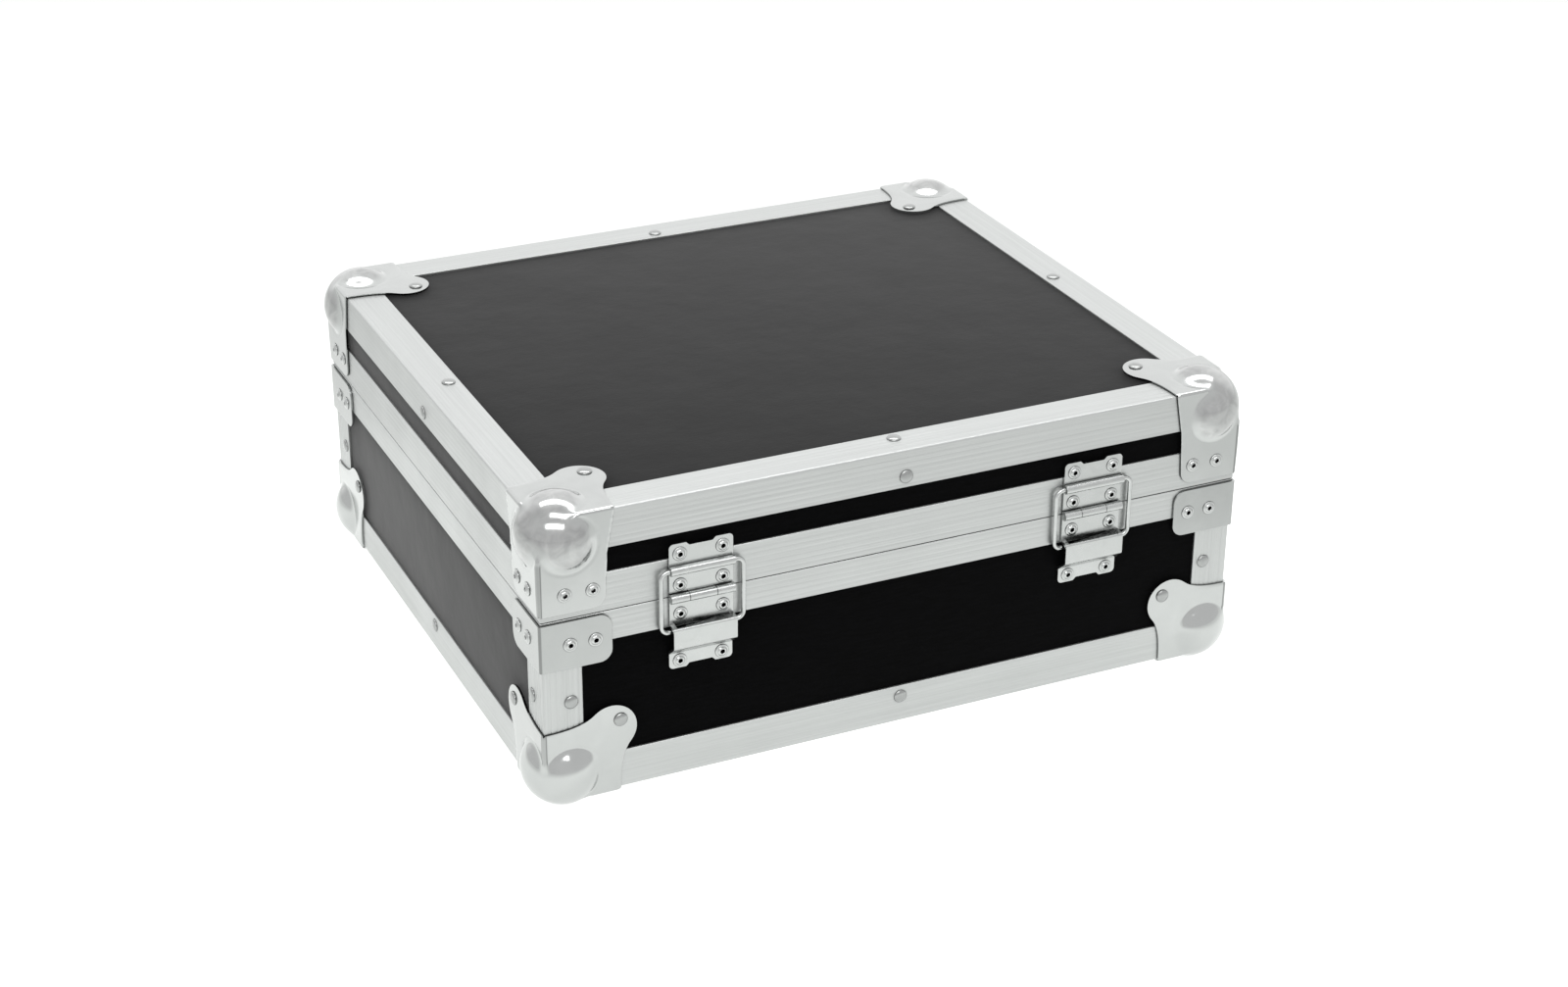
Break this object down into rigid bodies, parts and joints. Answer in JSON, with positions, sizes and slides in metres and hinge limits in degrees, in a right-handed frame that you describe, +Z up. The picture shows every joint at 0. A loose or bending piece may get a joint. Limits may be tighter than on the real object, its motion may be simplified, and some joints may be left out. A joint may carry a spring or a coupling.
{
  "type": "foam-lined flight case",
  "caption": "Small foam-lined flight case with a hinged lid, aluminium edges, steel ball corners, lid-stay hinges, twist latches and a carrying handle.",
  "frame": {"origin": "on the floor under the middle of the case's bounding box", "axes": "+X right seen from the front (latch and handle side), +Y to the back (hinge side), +Z up"},
  "size_m": [0.43, 0.385, 0.1783],
  "materials": {
    "dark_laminate": "matt dark grey laminate on plywood",
    "aluminium_edge": "satin anodised extrusion with fine drawing lines",
    "aluminium_rim": "satin anodised extrusion with fine drawing lines",
    "plated_corner": "bright zinc-plated pressing",
    "plated_hardware": "bright zinc-plated pressing",
    "spring_wire": "polished spring wire",
    "rivet_metal": "bright blind rivet",
    "foam": "open-cell polyurethane foam, charcoal",
    "grip_plastic": "grained moulded grip"
  },
  "bodies": {
    "base": {"base_back_panel": "dark_laminate", "base_ball_corner_back_left": "plated_corner", "base_ball_corner_back_right": "plated_corner", "base_ball_corner_front_left": "plated_corner", "base_ball_corner_front_right": "plated_corner", "base_bottom_edge_back": "aluminium_edge", "base_bottom_edge_front": "aluminium_edge", "base_bottom_edge_left": "aluminium_edge", "base_bottom_edge_right": "aluminium_edge", "base_bottom_panel": "dark_laminate", "base_corner_braces": "plated_corner", "base_corner_posts": "aluminium_edge", "base_front_panel": "dark_laminate", "base_left_panel": "dark_laminate", "base_right_panel": "dark_laminate", "base_rim_back": "aluminium_rim", "base_rim_front": "aluminium_rim", "base_rim_left": "aluminium_rim", "base_rim_right": "aluminium_rim", "base_rivets": "rivet_metal", "foam_bottom_pad": "foam", "foam_wall_strips": "foam", "handle_brackets": "plated_hardware", "hinge_base_plate_left": "plated_hardware", "hinge_base_plate_right": "plated_hardware", "hinge_pins": "plated_hardware", "latch_base_left": "plated_hardware", "latch_base_right": "plated_hardware"},
    "lid": {"hinge_lid_plate_left": "plated_hardware", "hinge_lid_plate_right": "plated_hardware", "latch_keepers": "plated_hardware", "lid_back_panel": "dark_laminate", "lid_ball_corner_back_left": "plated_corner", "lid_ball_corner_back_right": "plated_corner", "lid_ball_corner_front_left": "plated_corner", "lid_ball_corner_front_right": "plated_corner", "lid_foam": "foam", "lid_front_panel": "dark_laminate", "lid_left_panel": "dark_laminate", "lid_right_panel": "dark_laminate", "lid_rim_back": "aluminium_rim", "lid_rim_front": "aluminium_rim", "lid_rim_left": "aluminium_rim", "lid_rim_right": "aluminium_rim", "lid_rivets": "rivet_metal", "lid_top_edge_back": "aluminium_edge", "lid_top_edge_front": "aluminium_edge", "lid_top_edge_left": "aluminium_edge", "lid_top_edge_right": "aluminium_edge", "lid_top_panel": "dark_laminate"},
    "stay_wire_left": {"hinge_stay_wire_left": "spring_wire"},
    "stay_wire_right": {"hinge_stay_wire_right": "spring_wire"},
    "handle": {"handle_grip": "grip_plastic", "handle_pins": "plated_hardware"},
    "latch_rotor_left": {"latch_hook_left": "plated_hardware", "latch_rotor_left": "plated_hardware"},
    "latch_rotor_right": {"latch_hook_right": "plated_hardware", "latch_rotor_right": "plated_hardware"},
    "latch_wing_left": {"latch_wing_left": "plated_hardware"},
    "latch_wing_right": {"latch_wing_right": "plated_hardware"}
  },
  "joints": [
    {"name": "lid_hinge", "type": "hinge", "parent": "base", "child": "lid", "pos_m": [0, 0.1873, 0.1146], "axis": [-1, 0, 0], "range_deg": [0, 90]},
    {"name": "stay_wire_left_pivot", "type": "hinge", "parent": "lid", "child": "stay_wire_left", "pos_m": [-0.1165, 0.1873, 0.1308], "axis": [1, 0, 0], "range_deg": [0, 57.6]},
    {"name": "stay_wire_right_pivot", "type": "hinge", "parent": "lid", "child": "stay_wire_right", "pos_m": [0.1165, 0.1873, 0.1308], "axis": [1, 0, 0], "range_deg": [0, 57.6]},
    {"name": "handle_pivot", "type": "hinge", "parent": "base", "child": "handle", "pos_m": [0, -0.1855, 0.0846], "axis": [-1, 0, 0], "range_deg": [0, 90]},
    {"name": "latch_left_turn", "type": "hinge", "parent": "base", "child": "latch_rotor_left", "pos_m": [-0.1165, -0.1775, 0.0946], "axis": [0, 1, 0], "range_deg": [0, 90]},
    {"name": "latch_left_wing_fold", "type": "hinge", "parent": "latch_rotor_left", "child": "latch_wing_left", "pos_m": [-0.1165, -0.18775, 0.1026], "axis": [-1, 0, 0], "range_deg": [0, 90]},
    {"name": "latch_right_turn", "type": "hinge", "parent": "base", "child": "latch_rotor_right", "pos_m": [0.1165, -0.1775, 0.0946], "axis": [0, -1, 0], "range_deg": [0, 90]},
    {"name": "latch_right_wing_fold", "type": "hinge", "parent": "latch_rotor_right", "child": "latch_wing_right", "pos_m": [0.1165, -0.18775, 0.1026], "axis": [-1, 0, 0], "range_deg": [0, 90]}
  ],
  "couplings": [
    {"joint": "stay_wire_left_pivot", "follows": "lid_hinge", "ratio": 0.64},
    {"joint": "stay_wire_right_pivot", "follows": "lid_hinge", "ratio": 0.64}
  ]
}
